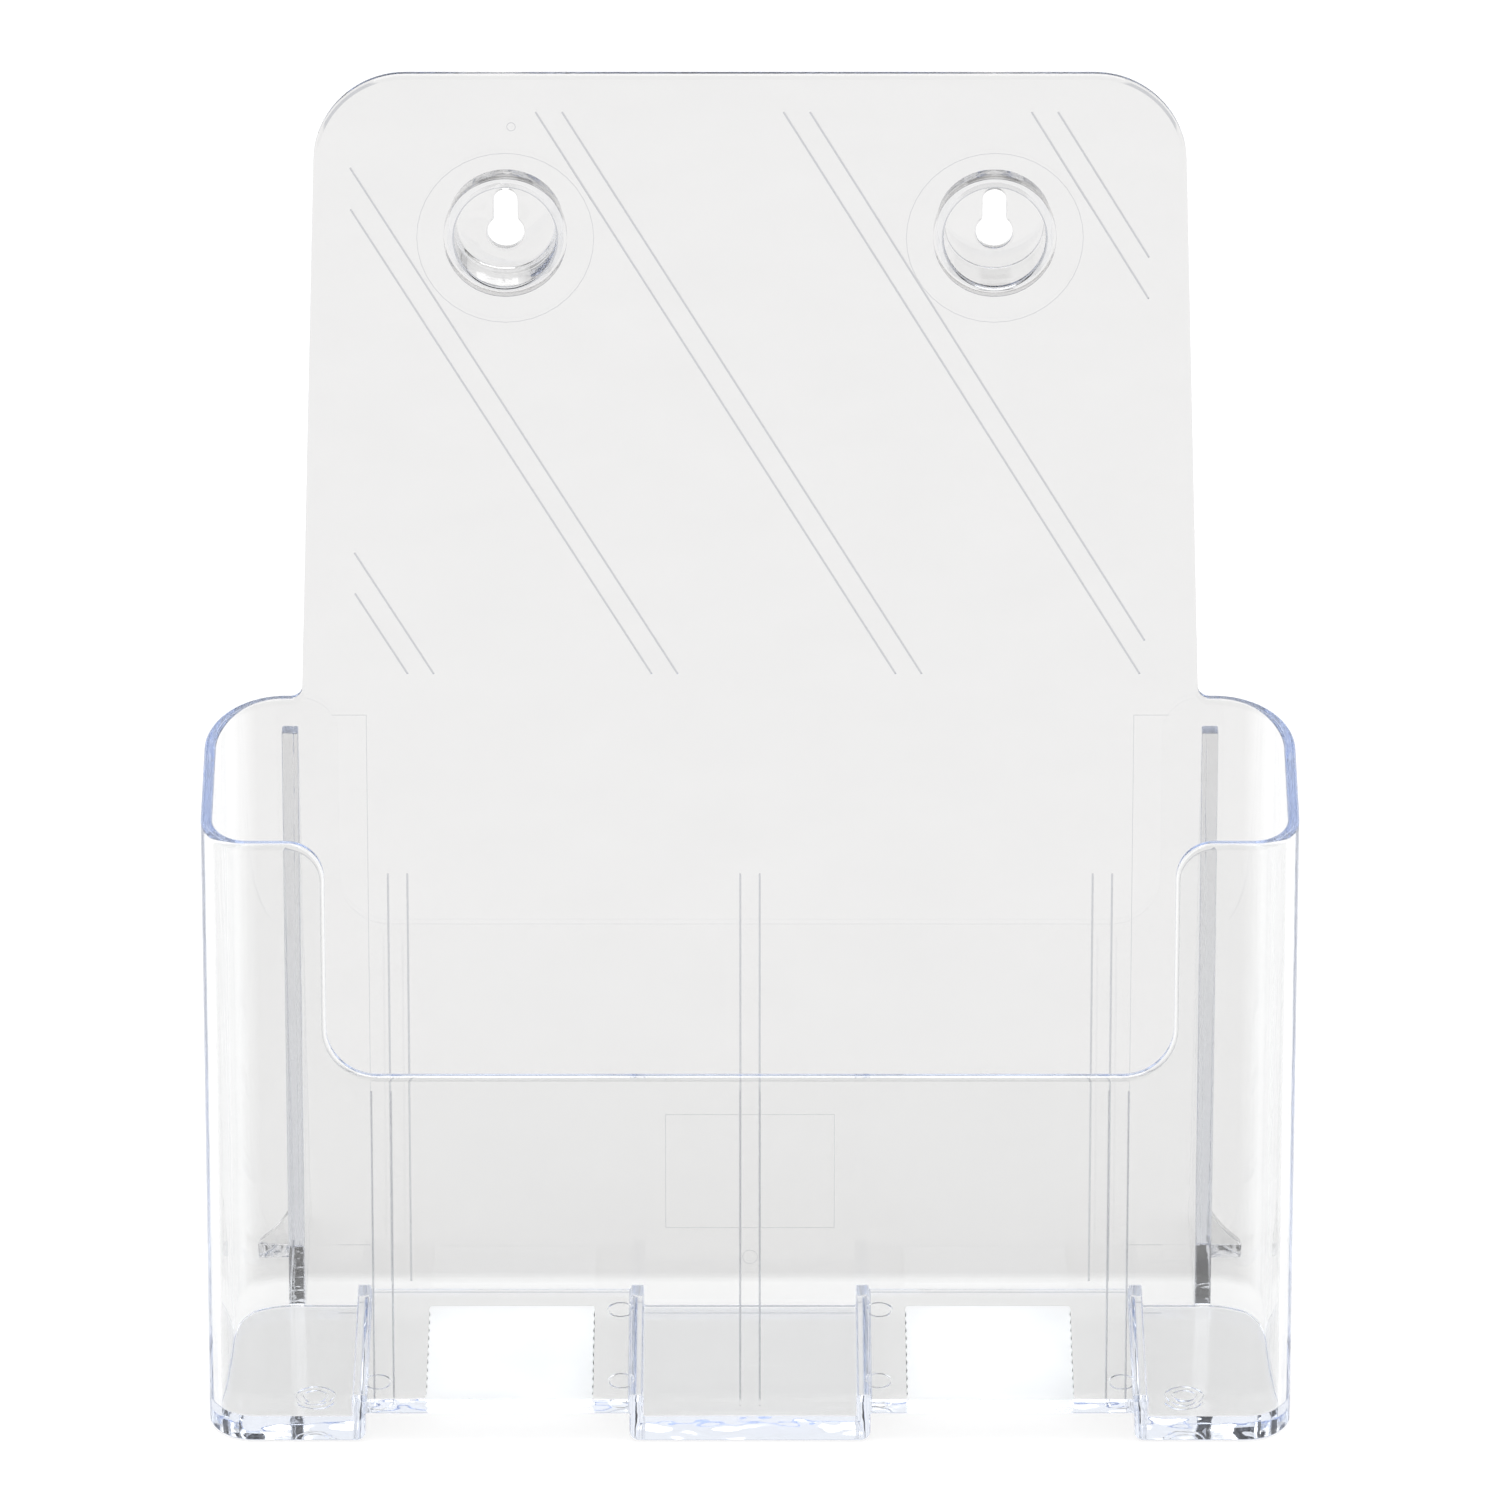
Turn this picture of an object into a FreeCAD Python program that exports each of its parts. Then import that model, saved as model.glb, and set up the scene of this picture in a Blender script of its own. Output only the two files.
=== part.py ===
import FreeCAD, Part
import math
import os
import Sketcher
from FreeCAD import Placement, Rotation, Vector

# A clear moulded rack for letter-size brochures. X runs across the rack, Y from front to back and
# Z up. The panel and the pocket lean back together, so most sections are drawn on a leaning plane
# or pushed up along the lean. Each piece is drawn with Y = 0 at the front foot, and its Placement
# then puts the origin under the middle of the whole rack.

doc = FreeCAD.newDocument("BrochureRack")

# Driving sizes in millimetres, and angles in degrees.
SIZES = (
    ("overallWidth", 234),
    ("overallHeight", 281),
    ("recline", 10),
    ("wall", 2.5),
    ("pocketDepth", 45),
    ("frontCorner", 10),  # outside radius of the pocket's front corners, in plan
    ("rearCorner", 17),
    ("seamLand", 1),  # flat left beside each round corner, where the side meets the wall
    ("rimFront", 135),  # height of the rim at the front wall
    ("rimRear", 143),  # height of the rim at the panel
    ("cutHeight", 83),  # height of the scoop in the front wall
    ("cutInset", 26.5),  # from the pocket's side to the scoop's
    ("cutTopRadius", 8),
    ("cutFloorRadius", 11),
    ("shoulderInset", 20.5),  # from the pocket's side to the panel's, just above the rim
    ("topInset", 25),  # the same at the top
    ("panelCorner", 19),
    ("shoulderFillet", 2.5),
    ("centreFoot", 52),  # width of the centre foot
    ("outerFoot", 34),  # width of each outer foot
    ("railWidth", 2.8),
    ("railHeight", 9.2),
    ("channelHeight", 6.2),  # clear height under the raised floors
    ("raisedFloor", 2),
    ("trayFloor", 4.5),
    ("footRound", 2.2),
    ("cupSpacing", 104),
    ("cupDrop", 35.5),  # from the top down to the cups' axes
    ("cupFlange", 18.8),  # radius
    ("cupMouth", 10.9),  # inside radius, where the cup's axis meets the panel
    ("cupTaper", 3),  # slope of the cup's wall
    ("cupWall", 1.75),
    ("cupFloor", 2),
    ("keyRadius", 3.9),
    ("slotRadius", 2.5),
    ("slotRise", 7.6),  # from the screw head's hole up to the slot's end centre
    ("keyDrop", 2.2),  # the screw head's hole is this far below the cup's axis
    ("legInset", 17.7),  # from the pocket's side to the middle of a leg
    ("legThick", 3.6),
    ("legDrop", 8.5),  # from the rim down to the leg's top
    ("legCap", 3.2),  # depth of the leg's top end
    ("legSpan", 43),  # depth of the leg's foot
    ("toeWide", 9),
    ("toeLength", 18),
    ("toeThick", 3.5),
    ("toeShoulder", 2.6),  # from the toe's front to where it starts to narrow
    ("toeWaist", 8),  # from the toe's front to its waist
    ("toeNeck", 4.4),  # width at the waist
    ("padInset", 7.9),  # from the centre foot to the pad
    ("padWide", 36.2),
    ("padGap", 2.1),  # behind the front wall
    ("padLength", 38.4),
    ("padThick", 1.8),
    ("ridgeHeight", 0.7),
    ("ridgeCount", 12),
    ("grooveWidth", 1),
    ("grooveDeep", 0.4),
    ("stripeAngle", 31.3),
    ("stripePitch", 52.5),
    ("stripeGap", 5.6),
    ("stripeInset", 29.6),  # from the panel's top corner to the last pair of stripes
    ("fieldInset", 7.2),  # from the panel's side to the striped field
    ("fieldDrop", 8),
    ("fieldRise", 5.7),  # from the rim up to the striped field
    ("lineGap", 4.2),
    ("panelLines", 76.3),
    ("panelLineTop", 103.5),
    ("frontLines", 78.9),
    ("frontLineDrop", 3),
)
STRIPES = 5

sheet = doc.addObject("Spreadsheet::Sheet", "Dims")
for row, (alias, size) in enumerate(SIZES, 1):
    sheet.set(f"A{row}", alias)
    sheet.set(f"B{row}", str(size))
    sheet.setAlias(f"B{row}", alias)
doc.recompute()

# Sizes worked out from the driving ones, as texts for the document's own expressions.
HALF = "Dims.overallWidth / 2"
LEAN = "tan(Dims.recline)"
SLANT = "cos(Dims.recline)"
OUTER_DEPTH = "(2 * Dims.wall + Dims.pocketDepth)"
PANEL_FRONT = "(Dims.wall + Dims.pocketDepth)"
TOTAL_DEPTH = f"({OUTER_DEPTH} + Dims.overallHeight * {LEAN})"
FRONT_SEAM = f"({HALF} - Dims.frontCorner - Dims.seamLand)"
REAR_SEAM = f"({HALF} - Dims.rearCorner - Dims.seamLand)"
CUT_HALF = f"({HALF} - Dims.cutInset)"
SHOULDER_HALF = f"({HALF} - Dims.shoulderInset)"
TOP_HALF = f"({HALF} - Dims.topInset)"
INNER_STEP = "(Dims.centreFoot / 2)"
OUTER_STEP = f"({HALF} - Dims.outerFoot)"
CUP_HEIGHT = "(Dims.overallHeight - Dims.cupDrop)"
LEG_PLACE = f"({HALF} - Dims.legInset)"
LEG_TOP = "(Dims.rimRear - Dims.legDrop)"
LEG_REACH = f"({OUTER_DEPTH} + Dims.legSpan)"
TINY = 1e-6

pieces = []


def number(text):
    """The value of an expression on the sheet."""
    return float(sheet.evalExpression(text))


def newBody(label, x="0", z="0"):
    """A body placed at (x, z) across and up, with the shift in Y that all pieces share."""
    body = doc.addObject("PartDesign::Body", label)
    body.Label = label
    body.setExpression("Placement.Base.x", x)
    body.setExpression("Placement.Base.y", f"-{TOTAL_DEPTH} / 2")
    body.setExpression("Placement.Base.z", z)
    pieces.append(body)
    return body


def newSketch(body, name, role):
    """A sketch on one of the body's own origin planes."""
    sketch = body.newObject("Sketcher::SketchObject", name)
    plane = [o for o in body.Origin.OriginFeatures if o.Role == role][0]
    sketch.AttachmentSupport = (plane, [""])
    sketch.MapMode = "FlatFace"
    return sketch


def leaningSketch(body, name, depth, height="0"):
    """A sketch on the plane that leans back and meets the body's Y axis at depth."""
    sketch = newSketch(body, name, "XZ_Plane")
    sketch.AttachmentOffset = Placement(Vector(0, 0, 0), Rotation(Vector(1, 0, 0), -1))
    sketch.setExpression("AttachmentOffset.Rotation.Angle", "-Dims.recline")
    sketch.setExpression("AttachmentOffset.Base.y", height)
    sketch.setExpression("AttachmentOffset.Base.z", f"-{depth}")
    return sketch


def pin(sketch, geometry, end, x, y):
    """Ties a point of the sketch to two expressions."""
    for kind, text in (("DistanceX", x), ("DistanceY", y)):
        rule = sketch.addConstraint(Sketcher.Constraint(kind, -1, 1, geometry, end, number(text)))
        sketch.setExpression(f"Constraints[{rule}]", text)


def tie(sketch, kind, geometry, text):
    """Ties a radius to an expression."""
    rule = sketch.addConstraint(Sketcher.Constraint(kind, geometry, number(text)))
    sketch.setExpression(f"Constraints[{rule}]", text)


def outline(sketch, corners):
    """A closed outline through the corners, each (x, y) or (x, y, radius), as expressions."""
    points = [Vector(number(c[0]), number(c[1]), 0) for c in corners]
    count = len(points)
    ahead = [(points[(i + 1) % count] - points[i]).normalize() for i in range(count)]
    starts = list(points)
    ends = list(points)
    arcs = {}
    for i, corner in enumerate(corners):
        if len(corner) == 2:
            continue
        radius = number(corner[2])
        came, goes = ahead[i - 1], ahead[i]
        left = came.x * goes.y - came.y * goes.x > 0
        trim = radius * math.tan(came.getAngle(goes) / 2)
        ends[i] = points[i] - came * trim
        starts[i] = points[i] + goes * trim
        side = Vector(-came.y, came.x, 0) if left else Vector(came.y, -came.x, 0)
        centre = ends[i] + side * radius
        first, last = (ends[i], starts[i]) if left else (starts[i], ends[i])
        angles = [math.atan2(p.y - centre.y, p.x - centre.x) for p in (first, last)]
        circle = Part.Circle(centre, Vector(0, 0, 1), radius)
        arcs[i] = (Part.ArcOfCircle(circle, *angles), left)
    lines = [
        sketch.addGeometry(Part.LineSegment(starts[i], ends[(i + 1) % count]), False)
        for i in range(count)
    ]
    for i, corner in enumerate(corners):
        before, after = lines[i - 1], lines[i]
        if i not in arcs:
            sketch.addConstraint(Sketcher.Constraint("Coincident", before, 2, after, 1))
            pin(sketch, after, 1, corner[0], corner[1])
            continue
        arc, left = arcs[i]
        arc = sketch.addGeometry(arc, False)
        joined = (1, 2) if left else (2, 1)
        sketch.addConstraint(Sketcher.Constraint("Tangent", before, 2, arc, joined[0]))
        sketch.addConstraint(Sketcher.Constraint("Tangent", arc, joined[1], after, 1))
        tie(sketch, "Radius", arc, corner[2])
        mark = sketch.addGeometry(Part.Point(points[i]), True)
        sketch.addConstraint(Sketcher.Constraint("PointOnObject", mark, 1, before))
        sketch.addConstraint(Sketcher.Constraint("PointOnObject", mark, 1, after))
        pin(sketch, mark, 1, corner[0], corner[1])


def roundEnded(sketch, start, end, radius):
    """A slot from start to end, two points given as expressions, with round ends."""
    a = Vector(number(start[0]), number(start[1]), 0)
    b = Vector(number(end[0]), number(end[1]), 0)
    reach = number(radius)
    along = (b - a).normalize()
    side = Vector(-along.y, along.x, 0) * reach
    angle = math.atan2(along.y, along.x)
    quarter = math.pi / 2
    up = Vector(0, 0, 1)
    far = Part.ArcOfCircle(Part.Circle(b, up, reach), angle - quarter, angle + quarter)
    near = Part.ArcOfCircle(Part.Circle(a, up, reach), angle + quarter, angle + 3 * quarter)
    shapes = (Part.LineSegment(a - side, b - side), far, Part.LineSegment(b + side, a + side), near)
    chain = [sketch.addGeometry(shape, False) for shape in shapes]
    for i, geometry in enumerate(chain):
        following = chain[(i + 1) % len(chain)]
        sketch.addConstraint(Sketcher.Constraint("Tangent", geometry, 2, following, 1))
    for arc, centre in ((chain[1], end), (chain[3], start)):
        tie(sketch, "Radius", arc, radius)
        pin(sketch, arc, 3, centre[0], centre[1])


def disc(sketch, x, y, radius):
    """A circle given by expressions."""
    circle = Part.Circle(Vector(number(x), number(y), 0), Vector(0, 0, 1), number(radius))
    geometry = sketch.addGeometry(circle, False)
    tie(sketch, "Radius", geometry, radius)
    pin(sketch, geometry, 3, x, y)


def push(body, kind, sketch, length, direction=None):
    """A pad or a pocket of the sketch, along a direction given as three expressions.

    With no direction it runs both ways from the sketch.
    """
    feature = body.newObject(kind, f"{sketch.Name}Solid")
    feature.Profile = sketch
    feature.setExpression("Length", length)
    if direction is None:
        feature.Midplane = True
    else:
        feature.UseCustomVector = True
        feature.AlongSketchNormal = direction[2] != "0"
        feature.Direction = Vector(*(number(text) for text in direction))
        for axis, text in zip("xyz", direction):
            feature.setExpression(f"Direction.{axis}", text)
    sketch.Visibility = False


def cut(body, sketch, length, direction=None):
    """A pocket of the sketch, which has to take something away."""
    doc.recompute()
    before = body.Shape.Volume
    push(body, "PartDesign::Pocket", sketch, length, direction)
    doc.recompute()
    if body.Shape.Volume > before - TINY:
        raise RuntimeError(f"{sketch.Name} cuts nothing")


BACK = ("0", "1", "0")
FORWARD = ("0", "-1", "0")
UPWARD = ("0", "0", "1")
UP_THE_LEAN = ("0", "sin(Dims.recline)", "cos(Dims.recline)")


def up(height):
    """A height, measured along the leaning plane."""
    return f"({height}) / {SLANT}"


def feetProfile(half):
    """The lower edge of a leaning wall: three feet and the two channels between them."""
    steps = []
    for side, x in ((-1, OUTER_STEP), (-1, INNER_STEP)):
        steps.append((side, x))
    steps += [(-side, x) for side, x in reversed(steps)]
    corners = [(f"-{half}", "0")]
    channel = up("Dims.channelHeight")
    for i, (side, x) in enumerate(steps):
        foot = (f"{side} * {x}", "0", "Dims.footRound")
        roof = (f"{side} * {x}", channel)
        corners += [foot, roof] if i % 2 == 0 else [roof, foot]
    corners.append((half, "0"))
    return corners


def verticalLines(body, name, depth, place, top):
    """Pairs of fine grooves down a leaning wall, from top to below its lower edge."""
    sketch = leaningSketch(body, name, depth)
    below = "-2 * Dims.grooveWidth"
    for pair in (-1, 0, 1):
        for side in (-1, 1):
            x = f"{pair} * {place} + {side} * Dims.lineGap / 2"
            roundEnded(sketch, (x, up(top)), (x, below), "Dims.grooveWidth / 2")
    cut(body, sketch, "Dims.grooveDeep", BACK)


def diagonalStripes(body):
    """Pairs of slanting grooves across the panel's field, cut off at its sides."""
    sketch = leaningSketch(body, "Stripes", PANEL_FRONT)
    slope = "tan(Dims.stripeAngle)"
    top = up("Dims.overallHeight - Dims.fieldDrop")
    bottom = up("Dims.rimRear + Dims.fieldRise")
    half = f"({TOP_HALF} - Dims.fieldInset)"
    for stripe in range(STRIPES):
        for side in (-1, 1):
            place = f"{TOP_HALF} - Dims.stripeInset - {stripe} * Dims.stripePitch"
            x = f"({place} + {side} * Dims.stripeGap / 2)"
            first = f"max({x}; -{half})"
            last = f"min({x} + ({top} - {bottom}) * {slope}; {half})"
            start = (first, f"{top} - ({first} - {x}) / {slope}")
            end = (last, f"{top} - ({last} - {x}) / {slope}")
            roundEnded(sketch, start, end, "Dims.grooveWidth / 2")
    cut(body, sketch, "Dims.grooveDeep", BACK)


def backPanel():
    body = newBody("back_panel")
    sketch = leaningSketch(body, "PanelOutline", PANEL_FRONT)
    corners = feetProfile(REAR_SEAM)
    rim, top = up("Dims.rimRear"), up("Dims.overallHeight")
    corners += [
        (REAR_SEAM, rim),
        (SHOULDER_HALF, rim, "Dims.shoulderFillet"),
        (TOP_HALF, top, "Dims.panelCorner"),
        (f"-{TOP_HALF}", top, "Dims.panelCorner"),
        (f"-{SHOULDER_HALF}", rim, "Dims.shoulderFillet"),
        (f"-{REAR_SEAM}", rim),
    ]
    outline(sketch, corners)
    push(body, "PartDesign::Pad", sketch, "Dims.wall", BACK)
    holes = leaningSketch(body, "CupHoles", PANEL_FRONT)
    for side in ("-", ""):
        disc(holes, f"{side}Dims.cupSpacing / 2", up(CUP_HEIGHT), "Dims.cupFlange")
    cut(body, holes, "Dims.wall", BACK)
    diagonalStripes(body)
    verticalLines(body, "PanelLines", PANEL_FRONT, "Dims.panelLines", "Dims.panelLineTop")


def pocketFront():
    body = newBody("pocket_front")
    sketch = leaningSketch(body, "FrontOutline", "0")
    rim, scoop = up("Dims.rimFront"), up("Dims.cutHeight")
    corners = feetProfile(FRONT_SEAM)
    corners += [
        (FRONT_SEAM, rim),
        (CUT_HALF, rim, "Dims.cutTopRadius"),
        (CUT_HALF, scoop, "Dims.cutFloorRadius"),
        (f"-{CUT_HALF}", scoop, "Dims.cutFloorRadius"),
        (f"-{CUT_HALF}", rim, "Dims.cutTopRadius"),
        (f"-{FRONT_SEAM}", rim),
    ]
    outline(sketch, corners)
    push(body, "PartDesign::Pad", sketch, "Dims.wall", BACK)
    top = "Dims.cutHeight - Dims.frontLineDrop"
    verticalLines(body, "FrontLines", "0", "Dims.frontLines", top)


def pocketSide(label, side):
    """A side wall with both of its round corners, under a rim that rises to the panel."""
    body = newBody(label)
    plan = newSketch(body, "SidePlan", "XY_Plane")
    inside = f"{side}({HALF} - Dims.wall)"
    outside = f"{side}{HALF}"
    outline(
        plan,
        [
            (f"{side}{FRONT_SEAM}", "0"),
            (outside, "0", "Dims.frontCorner"),
            (outside, OUTER_DEPTH, "Dims.rearCorner"),
            (f"{side}{REAR_SEAM}", OUTER_DEPTH),
            (f"{side}{REAR_SEAM}", PANEL_FRONT),
            (inside, PANEL_FRONT, "Dims.rearCorner - Dims.wall"),
            (inside, "Dims.wall", "Dims.frontCorner - Dims.wall"),
            (f"{side}{FRONT_SEAM}", "Dims.wall"),
        ],
    )
    push(body, "PartDesign::Pad", plan, "Dims.rimRear", UP_THE_LEAN)
    rim = newSketch(body, "SideRim", "YZ_Plane")
    front, rear = f"Dims.rimFront * {LEAN}", f"{OUTER_DEPTH} + Dims.rimRear * {LEAN}"
    above = "Dims.rimRear + Dims.wall"
    corners = [(front, "Dims.rimFront"), (rear, "Dims.rimRear"), (rear, above), (front, above)]
    outline(rim, corners)
    cut(body, rim, "2 * Dims.overallWidth")


def leaningBar(label, left, right, bottom, top, radius=None):
    """A bar that fills the pocket from front to back; a radius rounds its lower edge at right."""
    body = newBody(label)
    sketch = leaningSketch(body, "BarSection", "Dims.wall")
    low, high = up(bottom), up(top)
    edge = (right, low) if radius is None else (right, low, radius)
    outline(sketch, [(left, low), edge, (right, high), (left, high)])
    push(body, "PartDesign::Pad", sketch, "Dims.pocketDepth", BACK)


def rails(name, side):
    """The two upright steps between a channel and the feet beside it."""
    inner, outer = f"{side}({INNER_STEP} - Dims.railWidth)", f"{side}{INNER_STEP}"
    leaningBar(f"{name}_inner_rail", inner, outer, "0", "Dims.railHeight", "Dims.footRound")
    inner, outer = f"{side}({OUTER_STEP} + Dims.railWidth)", f"{side}{OUTER_STEP}"
    leaningBar(f"{name}_outer_rail", inner, outer, "0", "Dims.railHeight", "Dims.footRound")


def raisedFloor(name, side):
    top = "Dims.channelHeight + Dims.raisedFloor"
    edges = f"{side}{INNER_STEP}", f"{side}{OUTER_STEP}"
    leaningBar(f"{name}_raised_floor", *edges, "Dims.channelHeight", top)


def centreTray():
    edge = f"({INNER_STEP} - Dims.railWidth)"
    leaningBar("centre_foot_tray", f"-{edge}", edge, "0", "Dims.trayFloor")


def outerTray(name, side):
    """The floor of an outer foot, which fits the pocket's round corners."""
    body = newBody(f"{name}_foot_tray")
    plan = newSketch(body, "TrayPlan", "XY_Plane")
    step = f"{side}({OUTER_STEP} + Dims.railWidth)"
    inside = f"{side}({HALF} - Dims.wall)"
    corners = [
        (step, "Dims.wall"),
        (inside, "Dims.wall", "Dims.frontCorner - Dims.wall"),
        (inside, PANEL_FRONT, "Dims.rearCorner - Dims.wall"),
        (step, PANEL_FRONT),
    ]
    outline(plan, corners)
    push(body, "PartDesign::Pad", plan, "Dims.trayFloor", UP_THE_LEAN)


def keyholeCup(name, side):
    """A shallow cup set into the panel, with a keyhole in a floor that lies flat on a wall."""
    label = f"{name}_keyhole_cup"
    body = newBody(label, f"{side}Dims.cupSpacing / 2", CUP_HEIGHT)
    centre = f"({PANEL_FRONT} + {CUP_HEIGHT} * {LEAN})"
    flange = leaningSketch(body, "Flange", centre)
    disc(flange, "0", "0", "Dims.cupFlange")
    push(body, "PartDesign::Pad", flange, "Dims.wall", BACK)

    floor = f"({TOTAL_DEPTH} - Dims.cupFloor)"
    ahead = f"({centre} - Dims.cupFlange)"
    slope = "tan(Dims.cupTaper)"

    def radiusAt(depth):
        return f"(Dims.cupMouth - ({depth} - {centre}) * {slope})"

    outside = newSketch(body, "CupOutside", "YZ_Plane")
    front, back = radiusAt(centre), radiusAt(TOTAL_DEPTH)
    outline(
        outside,
        [
            (centre, "0"),
            (TOTAL_DEPTH, "0"),
            (TOTAL_DEPTH, f"{back} + Dims.cupWall"),
            (centre, f"{front} + Dims.cupWall"),
        ],
    )
    cone = body.newObject("PartDesign::Revolution", "CupCone")
    cone.Profile = outside
    cone.ReferenceAxis = (outside, ["H_Axis"])
    cone.Angle = 360
    trim = leaningSketch(body, "FlangeFace", centre)
    disc(trim, "0", "0", "1.5 * Dims.cupFlange")
    cut(body, trim, "Dims.cupFlange", FORWARD)

    doc.recompute()
    before = body.Shape.Volume
    hollow = newSketch(body, "CupInside", "YZ_Plane")
    corners = [(ahead, "0"), (floor, "0"), (floor, radiusAt(floor)), (ahead, radiusAt(ahead))]
    outline(hollow, corners)
    groove = body.newObject("PartDesign::Groove", "CupHollow")
    groove.Profile = hollow
    groove.ReferenceAxis = (hollow, ["H_Axis"])
    groove.Angle = 360
    doc.recompute()
    if body.Shape.Volume > before - TINY:
        raise RuntimeError(f"{label}: the cup is not hollow")

    head = newSketch(body, "KeyholeHead", "XZ_Plane")
    disc(head, "0", "-Dims.keyDrop", "Dims.keyRadius")
    slot = newSketch(body, "KeyholeSlot", "XZ_Plane")
    low = ("0", "-Dims.keyDrop")
    high = ("0", "Dims.slotRise - Dims.keyDrop")
    roundEnded(slot, low, high, "Dims.slotRadius")
    for sketch in (head, slot):
        cut(body, sketch, f"{TOTAL_DEPTH} + Dims.wall", BACK)


def standLeg(name, side):
    """A fin behind the panel that props the rack up, with a toe on its outer side."""
    body = newBody(f"{name}_stand_leg", f"{side}{LEG_PLACE}")
    fin = newSketch(body, "Fin", "YZ_Plane")
    panel = f"{OUTER_DEPTH} + {LEG_TOP} * {LEAN}"
    corners = [
        (OUTER_DEPTH, "0"),
        (LEG_REACH, "0"),
        (f"{panel} + Dims.legCap", LEG_TOP),
        (panel, LEG_TOP),
    ]
    outline(fin, corners)
    push(body, "PartDesign::Pad", fin, "Dims.legThick")

    toe = newBody(f"{name}_leg_toe", f"{side}({LEG_PLACE} + Dims.legThick / 2)")
    plan = newSketch(toe, "ToePlan", "XY_Plane")
    front = f"({LEG_REACH} - Dims.toeLength)"
    edge = f"{side}Dims.toeWide"
    corners = [
        ("0", front),
        (edge, front, "1"),
        (edge, f"{front} + Dims.toeShoulder", "2"),
        (f"{side}Dims.toeNeck", f"{front} + Dims.toeWaist", "4"),
        ("0", LEG_REACH),
    ]
    outline(plan, corners)
    push(toe, "PartDesign::Pad", plan, "Dims.toeThick", UPWARD)


def gripPad(name, side):
    """A pad under a raised floor, with ridges across it that point down."""
    top = "Dims.channelHeight"
    middle = f"({INNER_STEP} + Dims.padInset + Dims.padWide / 2)"
    body = newBody(f"{name}_grip_pad", f"{side}{middle}", top)
    section = newSketch(body, "PadSection", "YZ_Plane")
    low = "-Dims.padThick"
    root = f"{low} + Dims.ridgeHeight"
    front = "(Dims.wall + Dims.padGap)"
    end = f"({front} + Dims.padLength)"
    corners = [(end, "0"), (front, "0"), (front, root)]
    pitch = "Dims.padLength / Dims.ridgeCount"
    count = int(number("Dims.ridgeCount"))
    for ridge in range(count):
        corners.append((f"{front} + ({ridge} + 0.5) * {pitch}", low))
        if ridge < count - 1:
            corners.append((f"{front} + ({ridge} + 1) * {pitch}", root))
    corners.append((end, root))
    outline(section, corners)
    push(body, "PartDesign::Pad", section, "Dims.padWide")


def build():
    backPanel()
    pocketFront()
    centreTray()
    for name, side in (("left", "-"), ("right", "")):
        pocketSide(f"{name}_pocket_side", side)
        rails(name, side)
        raisedFloor(name, side)
        outerTray(name, side)
        keyholeCup(name, side)
        standLeg(name, side)
        gripPad(name, side)
    doc.recompute()


def write():
    """Checks every object, then writes each piece to its own file."""
    for thing in doc.Objects:
        if "Invalid" in thing.State or "Error" in thing.State:
            raise RuntimeError(f"{thing.Label} failed: {thing.State}")
    os.makedirs("parts", exist_ok=True)
    for piece in pieces:
        shape = piece.Shape
        if shape.isNull() or not shape.isValid() or len(shape.Solids) != 1:
            raise RuntimeError(f"{piece.Label} is not one valid solid")
        shape.exportStep(f"parts/{piece.Label}.step")
        print(f"{piece.Label}: {shape.Volume:.0f} mm3")


build()
write()
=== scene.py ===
from math import atan2, cos, pi, radians, sin, tan

import bmesh
import bpy
from mathutils import Matrix, Vector


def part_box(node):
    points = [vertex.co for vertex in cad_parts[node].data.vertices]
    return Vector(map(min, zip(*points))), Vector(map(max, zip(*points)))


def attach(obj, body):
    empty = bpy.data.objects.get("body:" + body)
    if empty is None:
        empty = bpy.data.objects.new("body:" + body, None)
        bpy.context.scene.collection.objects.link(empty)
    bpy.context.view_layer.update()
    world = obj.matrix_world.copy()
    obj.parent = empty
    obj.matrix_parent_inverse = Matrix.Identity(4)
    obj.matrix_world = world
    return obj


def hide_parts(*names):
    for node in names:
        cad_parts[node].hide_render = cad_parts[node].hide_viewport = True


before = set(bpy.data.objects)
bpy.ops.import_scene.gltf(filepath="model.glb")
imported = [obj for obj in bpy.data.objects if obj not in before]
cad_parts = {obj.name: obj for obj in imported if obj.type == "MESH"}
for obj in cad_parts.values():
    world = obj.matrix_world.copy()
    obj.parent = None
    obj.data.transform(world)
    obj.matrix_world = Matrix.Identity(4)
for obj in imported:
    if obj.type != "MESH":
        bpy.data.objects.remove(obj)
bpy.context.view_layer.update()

# Brochure rack, clear moulded plastic. The pocket and the panel are one moulding, so they are
# modelled upright as one shell and then leaned back onto the frame.
# Metres. x across, y from the front wall to the back, z up.

mm = 0.001
past = 5 * mm  # cutters reach this far beyond what they cut

rack = {
    "lean": radians(10),
    "width": 234 * mm,
    "height": 281 * mm,
    "depth": 50 * mm,
    "wall": 2.5 * mm,
}
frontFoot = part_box("pocket_front")[0].y  # the shell's y = 0
lean = Matrix((
    (1, 0, 0, 0),
    (0, 1, sin(rack["lean"]), frontFoot),
    (0, 0, cos(rack["lean"]), 0),
    (0, 0, 0, 1),
))


def up(height):  # a height in the frame, measured along the lean
    return height / cos(rack["lean"])


def focus(piece):
    bpy.ops.object.select_all(action="DESELECT")
    piece.select_set(True)
    bpy.context.view_layer.objects.active = piece


def settle(piece):  # puts the object's place into its mesh
    focus(piece)
    bpy.ops.object.transform_apply(location=True, rotation=True, scale=True)
    return piece


def block(name, low, high):
    low, high = Vector(low), Vector(high)
    bpy.ops.object.select_all(action="DESELECT")
    bpy.ops.mesh.primitive_cube_add(size=1, location=(low + high) / 2)
    piece = bpy.context.object
    piece.name = name
    piece.scale = high - low
    return settle(piece)


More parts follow.
